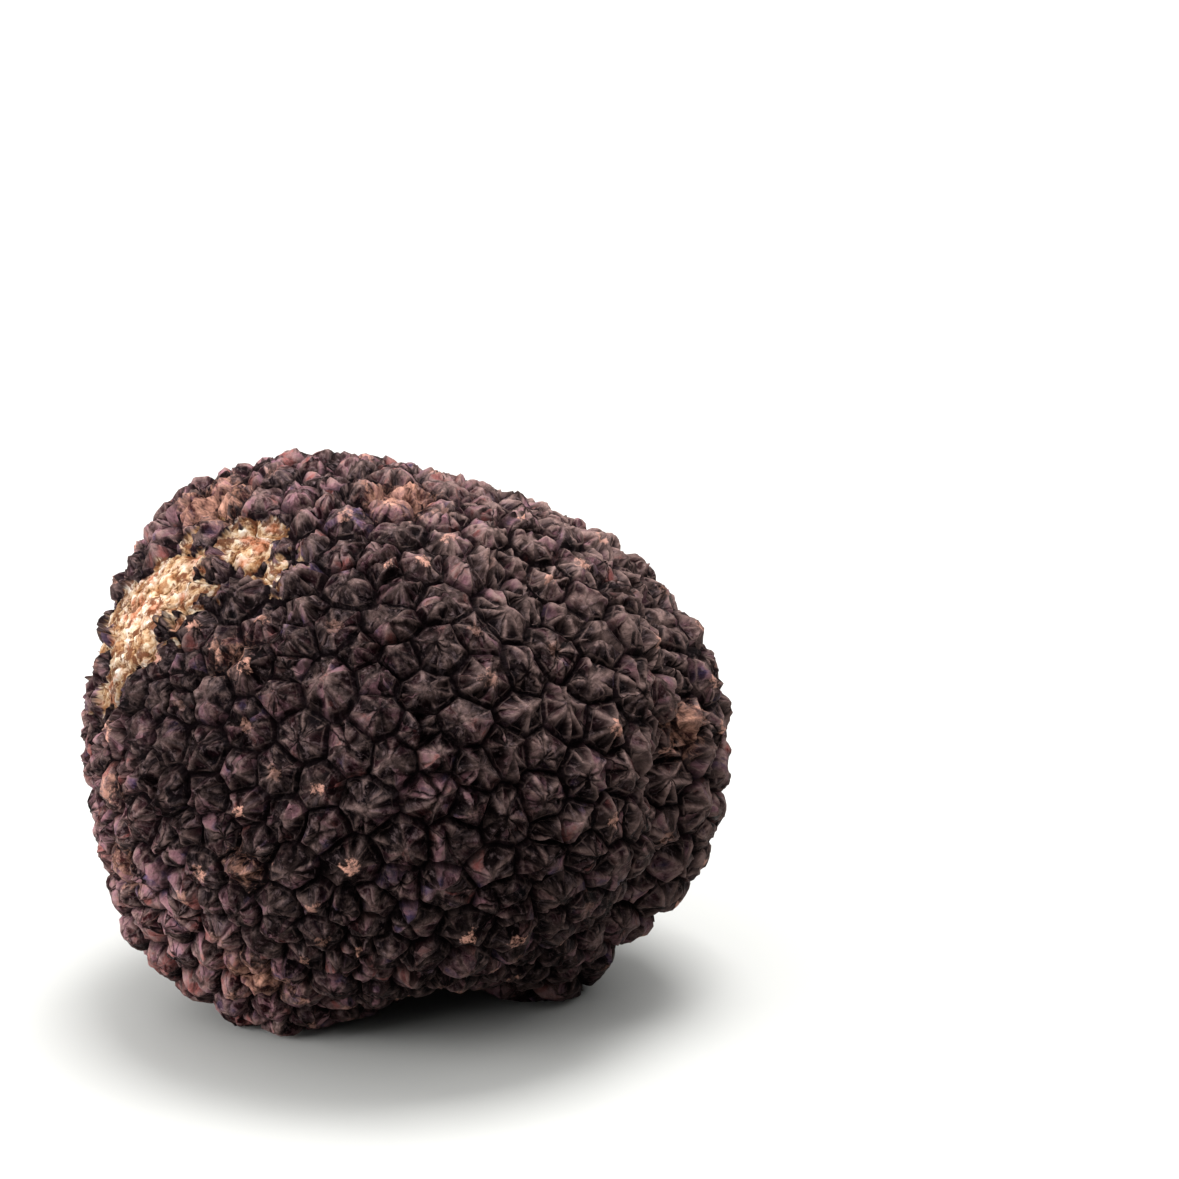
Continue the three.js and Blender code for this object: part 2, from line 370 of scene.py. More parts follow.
def off_middle(tree, value, middle=0.5):
    """How far a value from 0 to 1 is above its middle, or below it."""
    return add(tree, "ShaderNodeMath", {0: value, 1: middle}, operation="SUBTRACT")


def wart_draws(tree, lot, seed):
    """Each wart's own number, what it draws by it, and the same three draws as a way to any side."""
    own = add(tree, "ShaderNodeMath", {0: lot, 1: LOT_SPREAD, 2: seed}, operation="MULTIPLY_ADD")
    draws = add(tree, "ShaderNodeTexWhiteNoise", {"W": own}, noise_dimensions="1D").outputs
    off_side = add(tree, "ShaderNodeVectorMath", {0: draws["Color"], 1: HALF},
                   operation="SUBTRACT")
    return own, draws, off_side


def bare_share(tree, place, bare, lot, seed):
    """Where the skin is rubbed off: 1 on bare flesh. Its ragged edge follows whole warts in part."""
    ragged = off_middle(tree, waves(tree, place, RAGGED_SIZE, seed))
    ragged_bare = add(tree, "ShaderNodeMath", {0: ragged, 1: RAGGED_REACH, 2: bare},
                      operation="MULTIPLY_ADD")
    wart_bare = add(tree, "ShaderNodeMath",
                    {0: off_middle(tree, lot), 1: WHOLE_WART_REACH, 2: ragged_bare},
                    operation="MULTIPLY_ADD")
    return add(tree, "ShaderNodeMapRange", {"Value": wart_bare, "From Max": BARE_EDGE_WIDTH},
               interpolation_type="SMOOTHSTEP")


def wart_chunks(tree, place, tip, up, own, off_side):
    """Parts a wart into chunks by cracks that run outwards from a hub near its tip.

    The chunks are cells of a pattern that is read on the direction from the hub alone. The places are
    warped first, which bends the cracks. Gives the direction, the level way from the hub, the distance to
    the nearest crack, and each chunk's own number from 0 to 1."""
    warp = waves(tree, place, WARP_SIZE, own)
    warp_side = add(tree, "ShaderNodeVectorMath", {0: warp.outputs["Color"], 1: HALF},
                    operation="SUBTRACT")
    warp_shift = add(tree, "ShaderNodeVectorMath", {0: warp_side, "Scale": 2 * WARP_REACH},
                     operation="SCALE")
    warped = add(tree, "ShaderNodeVectorMath", {0: place, 1: warp_shift}, operation="ADD")
    off_tip = add(tree, "ShaderNodeVectorMath", {0: off_side, "Scale": 2 * HUB_REACH}, operation="SCALE")
    hub = add(tree, "ShaderNodeVectorMath", {0: tip, 1: off_tip}, operation="ADD")
    away = add(tree, "ShaderNodeVectorMath", {0: warped, 1: hub}, operation="SUBTRACT")
    rise = add(tree, "ShaderNodeVectorMath", {0: away, 1: up}, operation="PROJECT")
    level = add(tree, "ShaderNodeVectorMath", {0: away, 1: rise}, operation="SUBTRACT")
    ray = add(tree, "ShaderNodeVectorMath", {0: level}, operation="NORMALIZE")
    own_ray = add(tree, "ShaderNodeVectorMath", {0: ray, 1: own}, operation="ADD")
    reach = add(tree, "ShaderNodeVectorMath", {0: level}, operation="LENGTH")
    chunk = add(tree, "ShaderNodeTexVoronoi", {"Vector": own_ray, "Scale": CHUNKS_ROUND},
                voronoi_dimensions="3D", feature="F1")
    edge = add(tree, "ShaderNodeTexVoronoi", {"Vector": own_ray, "Scale": CHUNKS_ROUND},
               voronoi_dimensions="3D", feature="DISTANCE_TO_EDGE")
    gap = add(tree, "ShaderNodeMath", {0: edge.outputs["Distance"], 1: reach}, operation="MULTIPLY")
    chunk_draws = add(tree, "ShaderNodeSeparateXYZ", {"Vector": chunk.outputs["Color"]})
    return ray, level, gap, chunk_draws.outputs["X"]


# ---- The relief -----------------------------------------------------------------------------------------


def relief_tree():
    """Raises the relief on the plain skin, and leaves the attributes that the material reads."""
    tree = bpy.data.node_groups.new("warty relief", "GeometryNodeTree")
    tree.interface.new_socket("Geometry", in_out="INPUT", socket_type="NodeSocketGeometry")
    for name, (kind, value) in RELIEF.items():
        socket = tree.interface.new_socket(name, in_out="INPUT", socket_type="NodeSocket" + kind)
        if value is not None:
            socket.default_value = value
    tree.interface.new_socket("Geometry", in_out="OUTPUT", socket_type="NodeSocketGeometry")
    given = add(tree, "NodeGroupInput").outputs
    seed = given["Seed"]

    place = add(tree, "GeometryNodeInputPosition")
    apart = add(tree, "ShaderNodeSeparateXYZ", {"Vector": place}).outputs
    inset, bare, height, lot, side_a, side_b = (
        add(tree, "GeometryNodeInputNamedAttribute", {"Name": name}, data_type="FLOAT")
        for name in ("inset", "bare", "wart_height", "wart_lot", "facet_side_a", "facet_side_b"))
    tip, up = (
        add(tree, "GeometryNodeInputNamedAttribute", {"Name": name}, data_type="FLOAT_VECTOR")
        for name in ("wart_tip", "wart_up"))
    own, draws, off_side = wart_draws(tree, lot, seed)
    draw = add(tree, "ShaderNodeSeparateXYZ", {"Vector": draws["Color"]}).outputs
    clear_of_groove = add(tree, "ShaderNodeMapRange", {"Value": inset, **CLEAR_OF_GROOVE},
                          interpolation_type="SMOOTHSTEP")
    sharpness = add(tree, "ShaderNodeMapRange", {"Value": apart["Z"], **SHARPNESS},
                    interpolation_type="SMOOTHSTEP")
    flesh = bare_share(tree, place, bare, lot, seed)

    # The wart's profile: the solid's two straight flanks, and what stands on the same foot and tip.
    plain = add(tree, "ShaderNodeFloatCurve", {"Value": inset}, curve=SOLID_PROFILE)
    for point in plain.mapping.curves[0].points:
        point.handle_type = "VECTOR"
    narrowing = off_middle(tree, waves(tree, place, NARROWING_SIZE, seed, **SMOOTH), NARROWING_MIDDLE)
    narrowed = add(tree, "ShaderNodeMath", {0: narrowing, 1: given["Groove change"], 2: inset},
                   operation="MULTIPLY_ADD")
    domed = add(tree, "ShaderNodeFloatCurve", {"Value": narrowed}, curve=DOMED_PROFILE)
    peaked = add(tree, "ShaderNodeFloatCurve", {"Value": narrowed}, curve=PEAKED_PROFILE)
    peak_share = add(tree, "ShaderNodeMath", {0: draw["X"], 1: sharpness}, operation="MULTIPLY")
    profile = add(tree, "ShaderNodeMix", {"Factor": peak_share, "A": domed, "B": peaked},
                  data_type="FLOAT")
    skin_rise = add(tree, "ShaderNodeMath", {0: profile, 1: height}, operation="MULTIPLY")

    # Facets that sink between the ridges.
    product = add(tree, "ShaderNodeMath", {0: side_a, 1: side_b}, operation="MULTIPLY")
    sunk = add(tree, "ShaderNodeMath", {0: product, 1: FACET_SCALE}, operation="MULTIPLY")
    facet = add(tree, "GeometryNodeFieldOnDomain", {0: sunk}, domain="CORNER", data_type="FLOAT")
    below_tip = add(tree, "ShaderNodeMapRange", {"Value": inset, **BELOW_TIP})
    facet_low = add(tree, "ShaderNodeMath", {0: facet, 1: below_tip}, operation="MULTIPLY")
    facet_here = add(tree, "ShaderNodeMath", {0: facet_low, 1: clear_of_groove}, operation="MULTIPLY")
    facet_depth = add(tree, "ShaderNodeMath", {0: draw["Y"], 1: given["Facet sink"]},
                      operation="MULTIPLY")
    facet_drop = add(tree, "ShaderNodeMath", {0: facet_here, 1: facet_depth}, operation="MULTIPLY")

    # Chunks and the cracks between them.
    _, level, gap, chunk_lot = wart_chunks(tree, place, tip, up, own, off_side)
    crack = add(tree, "ShaderNodeMapRange",
                {"Value": gap, "From Max": given["Crack half width"], "To Min": 1.0, "To Max": 0.0},
                interpolation_type="SMOOTHSTEP")
    crack_share = add(tree, "ShaderNodeMapRange",
                      {"Value": waves(tree, place, CRACKED_SIZE, seed, **SMOOTH), **CRACKED})
    crack_some = add(tree, "ShaderNodeMath", {0: crack, 1: crack_share}, operation="MULTIPLY")
    along = add(tree, "ShaderNodeFloatCurve", {"Value": inset}, curve=CRACK_ALONG)
    crack_here = add(tree, "ShaderNodeMath", {0: crack_some, 1: along}, operation="MULTIPLY")
    crack_drop = add(tree, "ShaderNodeMath", {0: crack_here, 1: given["Crack depth"]},
                     operation="MULTIPLY")
    step_along = add(tree, "ShaderNodeFloatCurve", {"Value": inset}, curve=STEP_ALONG)
    step_here = add(tree, "ShaderNodeMath", {0: off_middle(tree, chunk_lot), 1: step_along},
                    operation="MULTIPLY")
    step_rise = add(tree, "ShaderNodeMath", {0: step_here, 1: given["Chunk step"]}, operation="MULTIPLY")

    # A split across one wart in five.
    across = add(tree, "ShaderNodeVectorMath", {0: up, 1: off_side}, operation="CROSS_PRODUCT")
    across_way = add(tree, "ShaderNodeVectorMath", {0: across}, operation="NORMALIZE")
    split_side = add(tree, "ShaderNodeVectorMath", {0: level, 1: across_way}, operation="DOT_PRODUCT")
    split_gap = add(tree, "ShaderNodeMath", {0: split_side}, operation="ABSOLUTE")
    split = add(tree, "ShaderNodeMapRange",
                {"Value": split_gap, "From Max": given["Split half width"], "To Min": 1.0, "To Max": 0.0},
                interpolation_type="SMOOTHSTEP")
    is_split = add(tree, "ShaderNodeMath", {0: draw["Z"], 1: SPLIT_ABOVE}, operation="GREATER_THAN")
    split_some = add(tree, "ShaderNodeMath", {0: split, 1: is_split}, operation="MULTIPLY")
    split_here = add(tree, "ShaderNodeMath", {0: split_some, 1: clear_of_groove}, operation="MULTIPLY")
    split_drop = add(tree, "ShaderNodeMath", {0: split_here, 1: given["Split depth"]},
                     operation="MULTIPLY")

    # Craters in the tips of some warts, and the crumble of every tip.
    crumble = off_middle(tree, waves(tree, place, given["Crumble size"], seed, **CRUMBLY))
    ragged_inset = add(tree, "ShaderNodeMath", {0: crumble, 1: SUMMIT_RAGGED, 2: inset},
                       operation="MULTIPLY_ADD")
    summit = add(tree, "ShaderNodeMapRange", {"Value": ragged_inset, **SUMMIT},
                 interpolation_type="SMOOTHSTEP")
    cratered = add(tree, "ShaderNodeMapRange", {"Value": draw["Y"], **CRATERED})
    crater = add(tree, "ShaderNodeMath", {0: cratered, 1: summit}, operation="MULTIPLY")
    crater_drop = add(tree, "ShaderNodeMath", {0: crater, 1: given["Crater depth"]}, operation="MULTIPLY")
    crumble_here = add(tree, "ShaderNodeMath", {0: crumble, 1: clear_of_groove}, operation="MULTIPLY")
    crumble_rise = add(tree, "ShaderNodeMath", {0: crumble_here, 1: given["Crumble height"]},
                       operation="MULTIPLY")

    # The skin's height over the wart's foot, the flesh's, and the one of the two that shows.
    carving = add(tree, "ShaderNodeMath", {0: step_rise, 1: crumble_rise}, operation="ADD")
    for drop in (facet_drop, crack_drop, split_drop, crater_drop):
        carving = add(tree, "ShaderNodeMath", {0: carving, 1: drop}, operation="SUBTRACT")
    skin_height = add(tree, "ShaderNodeMath", {0: carving, 1: sharpness, 2: skin_rise},
                      operation="MULTIPLY_ADD")
    crumbs = off_middle(tree, waves(tree, place, CRUMB_SIZE, seed, **CRUMBLY))
    stump = add(tree, "ShaderNodeMath", {0: domed, 1: given["Stump height"]}, operation="MULTIPLY")
    flesh_height = add(tree, "ShaderNodeMath", {0: crumbs, 1: given["Crumb height"], 2: stump},
                       operation="MULTIPLY_ADD")
    shown_height = add(tree, "ShaderNodeMix", {"Factor": flesh, "A": skin_height, "B": flesh_height},
                       data_type="FLOAT")
    grain = off_middle(tree, waves(tree, place, given["Grain size"], seed, **CRUMBLY))
    grained = add(tree, "ShaderNodeMath", {0: grain, 1: given["Grain height"], 2: shown_height},
                  operation="MULTIPLY_ADD")
    plain_rise = add(tree, "ShaderNodeMath", {0: plain, 1: height}, operation="MULTIPLY")
    change = add(tree, "ShaderNodeMath", {0: grained, 1: plain_rise}, operation="SUBTRACT")
    lift = add(tree, "ShaderNodeVectorMath", {0: up, "Scale": change}, operation="SCALE")

    wander = waves(tree, place, given["Wander size"], seed, **SMOOTH)
    wander_side = add(tree, "ShaderNodeVectorMath", {0: wander.outputs["Color"], 1: HALF},
                      operation="SUBTRACT")
    wander_double = add(tree, "ShaderNodeMath", {0: given["Wander"], 1: 2.0}, operation="MULTIPLY")
    wander_shift = add(tree, "ShaderNodeVectorMath", {0: wander_side, "Scale": wander_double},
                       operation="SCALE")
    shift = add(tree, "ShaderNodeVectorMath", {0: lift, 1: wander_shift}, operation="ADD")

    # What the material needs to know, kept before the points move.
    groove = add(tree, "ShaderNodeMapRange", {"Value": narrowed, **GROOVE},
                 interpolation_type="SMOOTHSTEP")
    hollow = add(tree, "ShaderNodeMath", {0: groove, 1: split_here}, operation="MAXIMUM")
    unsunk = add(tree, "ShaderNodeMath", {0: 1.0, 1: facet}, operation="SUBTRACT")
    narrow_ridge = add(tree, "ShaderNodeMath", {0: unsunk, 1: RIDGE_POWER}, operation="POWER")
    ridge = add(tree, "ShaderNodeMath", {0: narrow_ridge, 1: clear_of_groove}, operation="MULTIPLY")
    geometry = add(tree, "GeometryNodeStoreNamedAttribute",
                   {"Geometry": given["Geometry"], "Name": "first_place", "Value": place},
                   data_type="FLOAT_VECTOR", domain="POINT")
    for name, value in {"hollow": hollow, "ridge": ridge, "crack_share": crack_share}.items():
        geometry = add(tree, "GeometryNodeStoreNamedAttribute",
                       {"Geometry": geometry, "Name": name, "Value": value},
                       data_type="FLOAT", domain="POINT")

    raised = add(tree, "GeometryNodeSetPosition", {"Geometry": geometry, "Offset": shift})
    # Nothing reaches below the surface that the truffle rests on.
    above = add(tree, "ShaderNodeMath", {0: apart["Z"], 1: 0.0}, operation="MAXIMUM")
    settled = add(tree, "ShaderNodeCombineXYZ", {"X": apart["X"], "Y": apart["Y"], "Z": above})
    rested = add(tree, "GeometryNodeSetPosition", {"Geometry": raised, "Position": settled})
    realized = add(tree, "GeometryNodeRealizeInstances", {"Geometry": rested})
    painted = add(tree, "GeometryNodeSetMaterial", {"Geometry": realized, "Material": given["Skin"]})
    add(tree, "NodeGroupOutput", {"Geometry": painted})
    return tree


def finished_skin(node, skin_material):
    """The truffle's skin as a plain mesh: the relief raised, then thinned."""
    plain = plain_skin(node)
    piece = bpy.data.objects.new("truffle_skin", plain)
    bpy.context.scene.collection.objects.link(piece)
    relief = piece.modifiers.new("warty relief", "NODES")
    relief.node_group = relief_tree()
    for item in relief.node_group.interface.items_tree:
        if item.in_out == "INPUT" and item.name == "Skin":
            relief[item.identifier] = skin_material
    thin = piece.modifiers.new("thinned", "DECIMATE")
    thin.ratio = SKIN_TRIANGLES / len(plain.polygons)
    ready = piece.evaluated_get(bpy.context.evaluated_depsgraph_get())
    finished = bpy.data.meshes.new_from_object(ready)
    piece.modifiers.clear()
    piece.data = finished
    finished.name = "truffle_skin"
    finished.shade_smooth()
    # Thinning moves points a little, so those that it pressed below the ground are set back on it.
    for point in finished.vertices:
        point.co.z = max(point.co.z, 0.0)
    bpy.data.meshes.remove(plain)
    return piece


# ---- Tones of the skin and the flesh --------------------------------------------------------------------

# Patches of darker and paler skin, of another hue, of scurf, of flushed flesh and of holes in the flesh.
MOTTLE_SIZE = 1.6 * MM
HUE_SIZE = 1.9 * MM
SCURF_SIZE = 0.7 * MM
FLUSH_SIZE = 2.2 * MM
HOLE_SIZE = 1.2 * MM

# Painted light: the skin is painted paler on the crown, as if lit from above, and on the low left end, as
# if lit from the left; elsewhere it stays darker as painted shade. The crown is told by height and by how
# far back a place lies, the left end and the right shoulder by height and by how far right.
CROWN_LEAN = 0.35
CROWN = {"From Min": 40.0 * MM, "From Max": 58.0 * MM}
CROWN_STRENGTH = 0.5
LEFT_LEAN = 0.8
LEFT_END = {"From Min": 5.0 * MM, "From Max": -14.0 * MM}
# The right shoulder's pale edges are painted highlight, as if lit from the right.
SHOULDER_LEAN = 0.5
SHOULDER_HIGHLIGHT = {"From Min": 24.0 * MM, "From Max": 40.0 * MM, "To Max": 0.6}

# Skin from its darkest to its palest, where it starts, and how far each thing takes it towards pale.
SKIN_TONES = [(0.34, 0x0A0206), (0.68, 0x8A7278), (0.52, 0x281219)]
TONE_START = -0.2
CHUNK_TONE = 0.32
MOTTLE_TONE = 0.46
FACET_TONE = 0.3
CHIP_TONE = 0.16
# How far the painted light share lifts the tone: painted light on the crown and the low left end.
PAINTED_LIGHT_TONE = 0.16

# The skin's tints, from blue-black over purple and brown to red, and how far each thing shifts them.
TINTS = [(0.41, 0x8C8CC0), (0.8, 0xFFB8A8), (0.53, 0xF4DAE0), (0.61, 0xFFDCE2), (0.7, 0xF0E2D4)]
FACET_HUE = 0.2
# How far the painted light share shifts the hue, browner where light is painted.
PAINTED_LIGHT_HUE = 0.06

# Fine streaks that run out from the tip: their tone and noise, with about four of them to a radian, which
# of its waves are streaks, in which mottles they show, and how strongly.
STREAK_TONE = 0x8A7679
STREAK_NOISE = {"Scale": 4.0, "Detail": 4.0, "Roughness": 0.75}
STREAK_LINES = {"From Min": 0.5, "From Max": 0.64}
STREAK_PLACES = {"From Min": 0.4, "From Max": 0.65}
STREAK_STRENGTH = 0.5

# Pale edges, partly rubbed wear and partly painted highlight where light catches them; the rim of a
# wart, told by how far it is from its place on the way in; and the fine cracks, painted dark as painted
# shade, told by their distance.
EDGE_WEAR_AND_HIGHLIGHT_TONE = 0x9C807A
EDGE_PLACES = {"From Min": 0.4, "From Max": 0.62, "To Max": 0.7}
RIM_INSET = 0.17
RIM = {"From Max": 0.05, "To Min": 0.7, "To Max": 0.0}
# The fine cracks are painted this near black, as painted shade at their bottom.
CRACK_SHADE_TONE = 0x0A0203
CRACK_LINES = {"From Min": 0.03 * MM, "From Max": 0.16 * MM, "To Min": 1.0, "To Max": 0.0}

# Scurf: which of its grains are pale specks, and which are pits, painted darker as painted shade, with how
# bright those are.
SPECK_TONE = 0x9A8284
SPECKS = {"From Min": 0.55, "From Max": 0.7, "To Max": 0.45}
PIT_SHADE = {"From Min": 0.36, "From Max": 0.5, "To Min": 0.6}

# Painted shade: how bright a wart's flank is up from its foot, darker towards the groove; and how bright
# all of the skin is, from painted shade to the painted light on the crown and the low left end.
FLANK_SHADE = {"From Max": 0.28, "To Min": 0.42}
SKIN_SHADE = {"To Min": 0.37, "To Max": 0.74}

# Tan tips: the warts that have one, its ragged core, and the flecks that it breaks into.
TIP_TONE = 0xB08272
TIPPED_WARTS = {"From Min": 0.75, "From Max": 1.1}
TIP_CORE = {"From Min": 1.2, "From Max": 1.32}
TIP_FLECKS = {"From Min": 0.42, "From Max": 0.56}

# Scuffed places, and how far the scurf makes their edge ragged.
SCUFF_TONES = [(0.4, 0x301814), (0.68, 0xB48470)]
SCUFF_RAGGED = 14.0 * MM
SCUFF = {"From Min": 7.0 * MM, "From Max": 10.0 * MM}
SCUFF_STRENGTH = 0.7

# Painted shade: grooves and splits painted near black, where shade falls between the warts; blackest where
# the skin is dark.
GROOVE_SHADE_TONE = 0x060304
GROOVE_SHADE_STRENGTH = {"From Min": 0.35, "From Max": 0.55, "To Min": 1.0, "To Max": 0.55}

# Flesh from its pits to its crumbs, with how much its grit adds, and the tints that it is flushed with.
FLESH_TONES = [(0.34, 0x44301F), (0.68, 0xB8B6B2), (0.43, 0x806854), (0.5, 0x968474), (0.58, 0xA2978D)]
GRIT_TONE = 0.5
FLUSH_TONES = [(0.36, 0xBC9270), (0.64, 0xE8B29C), (0.45, 0xF4E2C8), (0.54, 0xF8F0E8)]
# The dust in its small holes, and how bright it is from thinly bared, near the skin, to deeply.
DUST_TONE = 0x4C2A1A
HOLES = {"From Min": 0.5, "From Max": 0.43, "To Max": 0.9}
FLESH_SHADE = {"From Min": -1.0 * MM, "From Max": 4.0 * MM, "To Min": 0.5}

# Dry skin hardly shines, and its grooves least. Scurf stands up from it, and chips sink at their edges.
ROUGHNESS = {"To Min": 0.48, "To Max": 0.95}
SHINE = 0.015
CHIP_DROP = -0.3
BUMP_HEIGHT = 0.35 * MM

FLOOR_TONE = 0x90908E
FLOOR_ROUGHNESS = 0.9
FLOOR_SHINE = 0.1


def peridium_material():
    """Truffle peridium: dry, corky, purple-black skin, nearly matt, with brown where it is worn."""
    material = bpy.data.materials.new("truffle_peridium")
    material.use_nodes = True
    tree = material.node_tree
    tree.nodes.clear()
    place, tip, up = (
        add(tree, "ShaderNodeAttribute", attribute_name=name).outputs["Vector"]
        for name in ("first_place", "wart_tip", "wart_up"))
    lot, facet_lot, inset, bare, scuffed = (
        add(tree, "ShaderNodeAttribute", attribute_name=name).outputs["Fac"]
        for name in ("wart_lot", "facet_lot", "inset", "bare", "scuffed"))
    hollow, ridge, crack_share = (
        add(tree, "ShaderNodeAttribute", attribute_name=name).outputs["Fac"]
        for name in ("hollow", "ridge", "crack_share"))
    seed = float(SEED)
    own, draws, off_side = wart_draws(tree, lot, seed)
    ray, _, gap, chunk_lot = wart_chunks(tree, place, tip, up, own, off_side)

    apart = add(tree, "ShaderNodeSeparateXYZ", {"Vector": place}).outputs
    # The painted light share: 1 where the skin is painted as lit, on the crown and the low left end.
    crownward = add(tree, "ShaderNodeMath", {0: apart["Y"], 1: CROWN_LEAN, 2: apart["Z"]},
                    operation="MULTIPLY_ADD")
    crown = add(tree, "ShaderNodeMapRange", {"Value": crownward, **CROWN}, interpolation_type="SMOOTHSTEP")
    crown_some = add(tree, "ShaderNodeMath", {0: crown, 1: CROWN_STRENGTH}, operation="MULTIPLY")
    leftward = add(tree, "ShaderNodeMath", {0: apart["Z"], 1: LEFT_LEAN, 2: apart["X"]},
                   operation="MULTIPLY_ADD")
    left_end = add(tree, "ShaderNodeMapRange", {"Value": leftward, **LEFT_END},
                   interpolation_type="SMOOTHSTEP")
    painted_light_share = add(tree, "ShaderNodeMath", {0: crown_some, 1: left_end}, operation="MAXIMUM")

    # Skin: near black with purple and brown in it, in patches, and no two warts or chunks quite alike.
    mottle = waves(tree, place, MOTTLE_SIZE, seed, **ROUGHEST)
    chips = add(tree, "ShaderNodeTexVoronoi", {"Vector": place, "Scale": 1 / CHIP_SIZE},
                voronoi_dimensions="3D", feature="F1").outputs
    chip_lot = add(tree, "ShaderNodeSeparateXYZ", {"Vector": chips["Color"]}).outputs["X"]
    tone = TONE_START
    # One of these things is the painted light share, which paints the crown and the low left end paler.
    for thing, share in ((chunk_lot, CHUNK_TONE), (mottle, MOTTLE_TONE), (facet_lot, FACET_TONE),
                         (chip_lot, CHIP_TONE), (painted_light_share, PAINTED_LIGHT_TONE)):
        tone = add(tree, "ShaderNodeMath", {0: thing, 1: share, 2: tone}, operation="MULTIPLY_ADD")
    skin = add(tree, "ShaderNodeValToRGB", {"Fac": tone}, stops=SKIN_TONES)
    facet_draw = add(tree, "ShaderNodeTexWhiteNoise", {"W": facet_lot}, noise_dimensions="1D")
    hue = waves(tree, place, HUE_SIZE, own)
    # The painted light share shifts the hue as well, where it paints the skin paler.
    for thing, share in ((painted_light_share, PAINTED_LIGHT_HUE), (facet_draw.outputs["Value"], FACET_HUE)):
        hue = add(tree, "ShaderNodeMath", {0: thing, 1: share, 2: hue}, operation="MULTIPLY_ADD")
    tint = add(tree, "ShaderNodeValToRGB", {"Fac": hue}, stops=TINTS)
    tinted = add(tree, "ShaderNodeMix", {"Factor": 1.0, "A": skin, "B": tint}, data_type="RGBA",
                 blend_type="MULTIPLY")

    streaks = add(tree, "ShaderNodeTexNoise", {"Vector": ray, "W": own, **STREAK_NOISE},
                  noise_dimensions="4D")
    streak_line = add(tree, "ShaderNodeMapRange", {"Value": streaks, **STREAK_LINES})
    streak_share = add(tree, "ShaderNodeMapRange", {"Value": mottle, **STREAK_PLACES})
    streak_thin = add(tree, "ShaderNodeMath", {0: streak_share, 1: STREAK_STRENGTH}, operation="MULTIPLY")
    streak_some = add(tree, "ShaderNodeMath", {0: streak_line, 1: streak_thin}, operation="MULTIPLY")
    streaked = add(tree, "ShaderNodeMix", {"Factor": streak_some, "A": tinted, "B": colour(STREAK_TONE)},
                   data_type="RGBA")

    # Pale edges, partly rubbed wear and partly painted highlight: the ridges from the tip, the meeting lines
    # of chunks that haven't cracked, and the wart's rim here and there. The right shoulder's edges get the
    # most, as a painted highlight where light from the right grazes them.
    crack = add(tree, "ShaderNodeMapRange", {"Value": gap, **CRACK_LINES})
    whole_share = add(tree, "ShaderNodeMath", {0: 1.0, 1: crack_share}, operation="SUBTRACT")
    meeting = add(tree, "ShaderNodeMath", {0: crack, 1: whole_share}, operation="MULTIPLY")
    rim_off = add(tree, "ShaderNodeMath", {0: off_middle(tree, inset, RIM_INSET)}, operation="ABSOLUTE")
    rim = add(tree, "ShaderNodeMapRange", {"Value": rim_off, **RIM})
    any_edge = add(tree, "ShaderNodeMath", {0: meeting, 1: ridge}, operation="MAXIMUM")
    every_edge = add(tree, "ShaderNodeMath", {0: any_edge, 1: rim}, operation="MAXIMUM")
    edge_wear_and_highlight = add(tree, "ShaderNodeMapRange", {"Value": mottle, **EDGE_PLACES})
    rightward = add(tree, "ShaderNodeMath", {0: apart["Z"], 1: SHOULDER_LEAN, 2: apart["X"]},
                    operation="MULTIPLY_ADD")
    shoulder = add(tree, "ShaderNodeMapRange", {"Value": rightward, **SHOULDER_HIGHLIGHT})
    edge_wear_and_highlight_more = add(tree, "ShaderNodeMath", {0: edge_wear_and_highlight, 1: shoulder}, operation="ADD")
    edge_wear_and_highlight_share = add(tree, "ShaderNodeMath", {0: every_edge, 1: edge_wear_and_highlight_more}, operation="MULTIPLY",
                    use_clamp=True)
    edged = add(tree, "ShaderNodeMix", {"Factor": edge_wear_and_highlight_share, "A": streaked, "B": colour(EDGE_WEAR_AND_HIGHLIGHT_TONE)},
                data_type="RGBA")
    # Painted shade: the bottom of each fine crack is painted near black.
    crack_some = add(tree, "ShaderNodeMath", {0: crack, 1: crack_share}, operation="MULTIPLY")
    cracked = add(tree, "ShaderNodeMix", {"Factor": crack_some, "A": edged, "B": colour(CRACK_SHADE_TONE)},
                  data_type="RGBA")

    scurf = waves(tree, place, SCURF_SIZE, seed, **ROUGH)
    speck = add(tree, "ShaderNodeMapRange", {"Value": scurf, **SPECKS})
    specked = add(tree, "ShaderNodeMix", {"Factor": speck, "A": cracked, "B": colour(SPECK_TONE)},
                  data_type="RGBA")
    # Painted shade: the scurf's pits, each flank's foot and all skin outside the painted light are dimmed.
    pit_shade = add(tree, "ShaderNodeMapRange", {"Value": scurf, **PIT_SHADE})
    flank = add(tree, "ShaderNodeMapRange", {"Value": inset, **FLANK_SHADE})
    painted_light_scale = add(tree, "ShaderNodeMapRange", {"Value": painted_light_share, **SKIN_SHADE})
    flank_shade = add(tree, "ShaderNodeMath", {0: flank, 1: painted_light_scale}, operation="MULTIPLY")
    shade = add(tree, "ShaderNodeMath", {0: flank_shade, 1: pit_shade}, operation="MULTIPLY")
    dimmed = add(tree, "ShaderNodeVectorMath", {0: specked, "Scale": shade}, operation="SCALE")

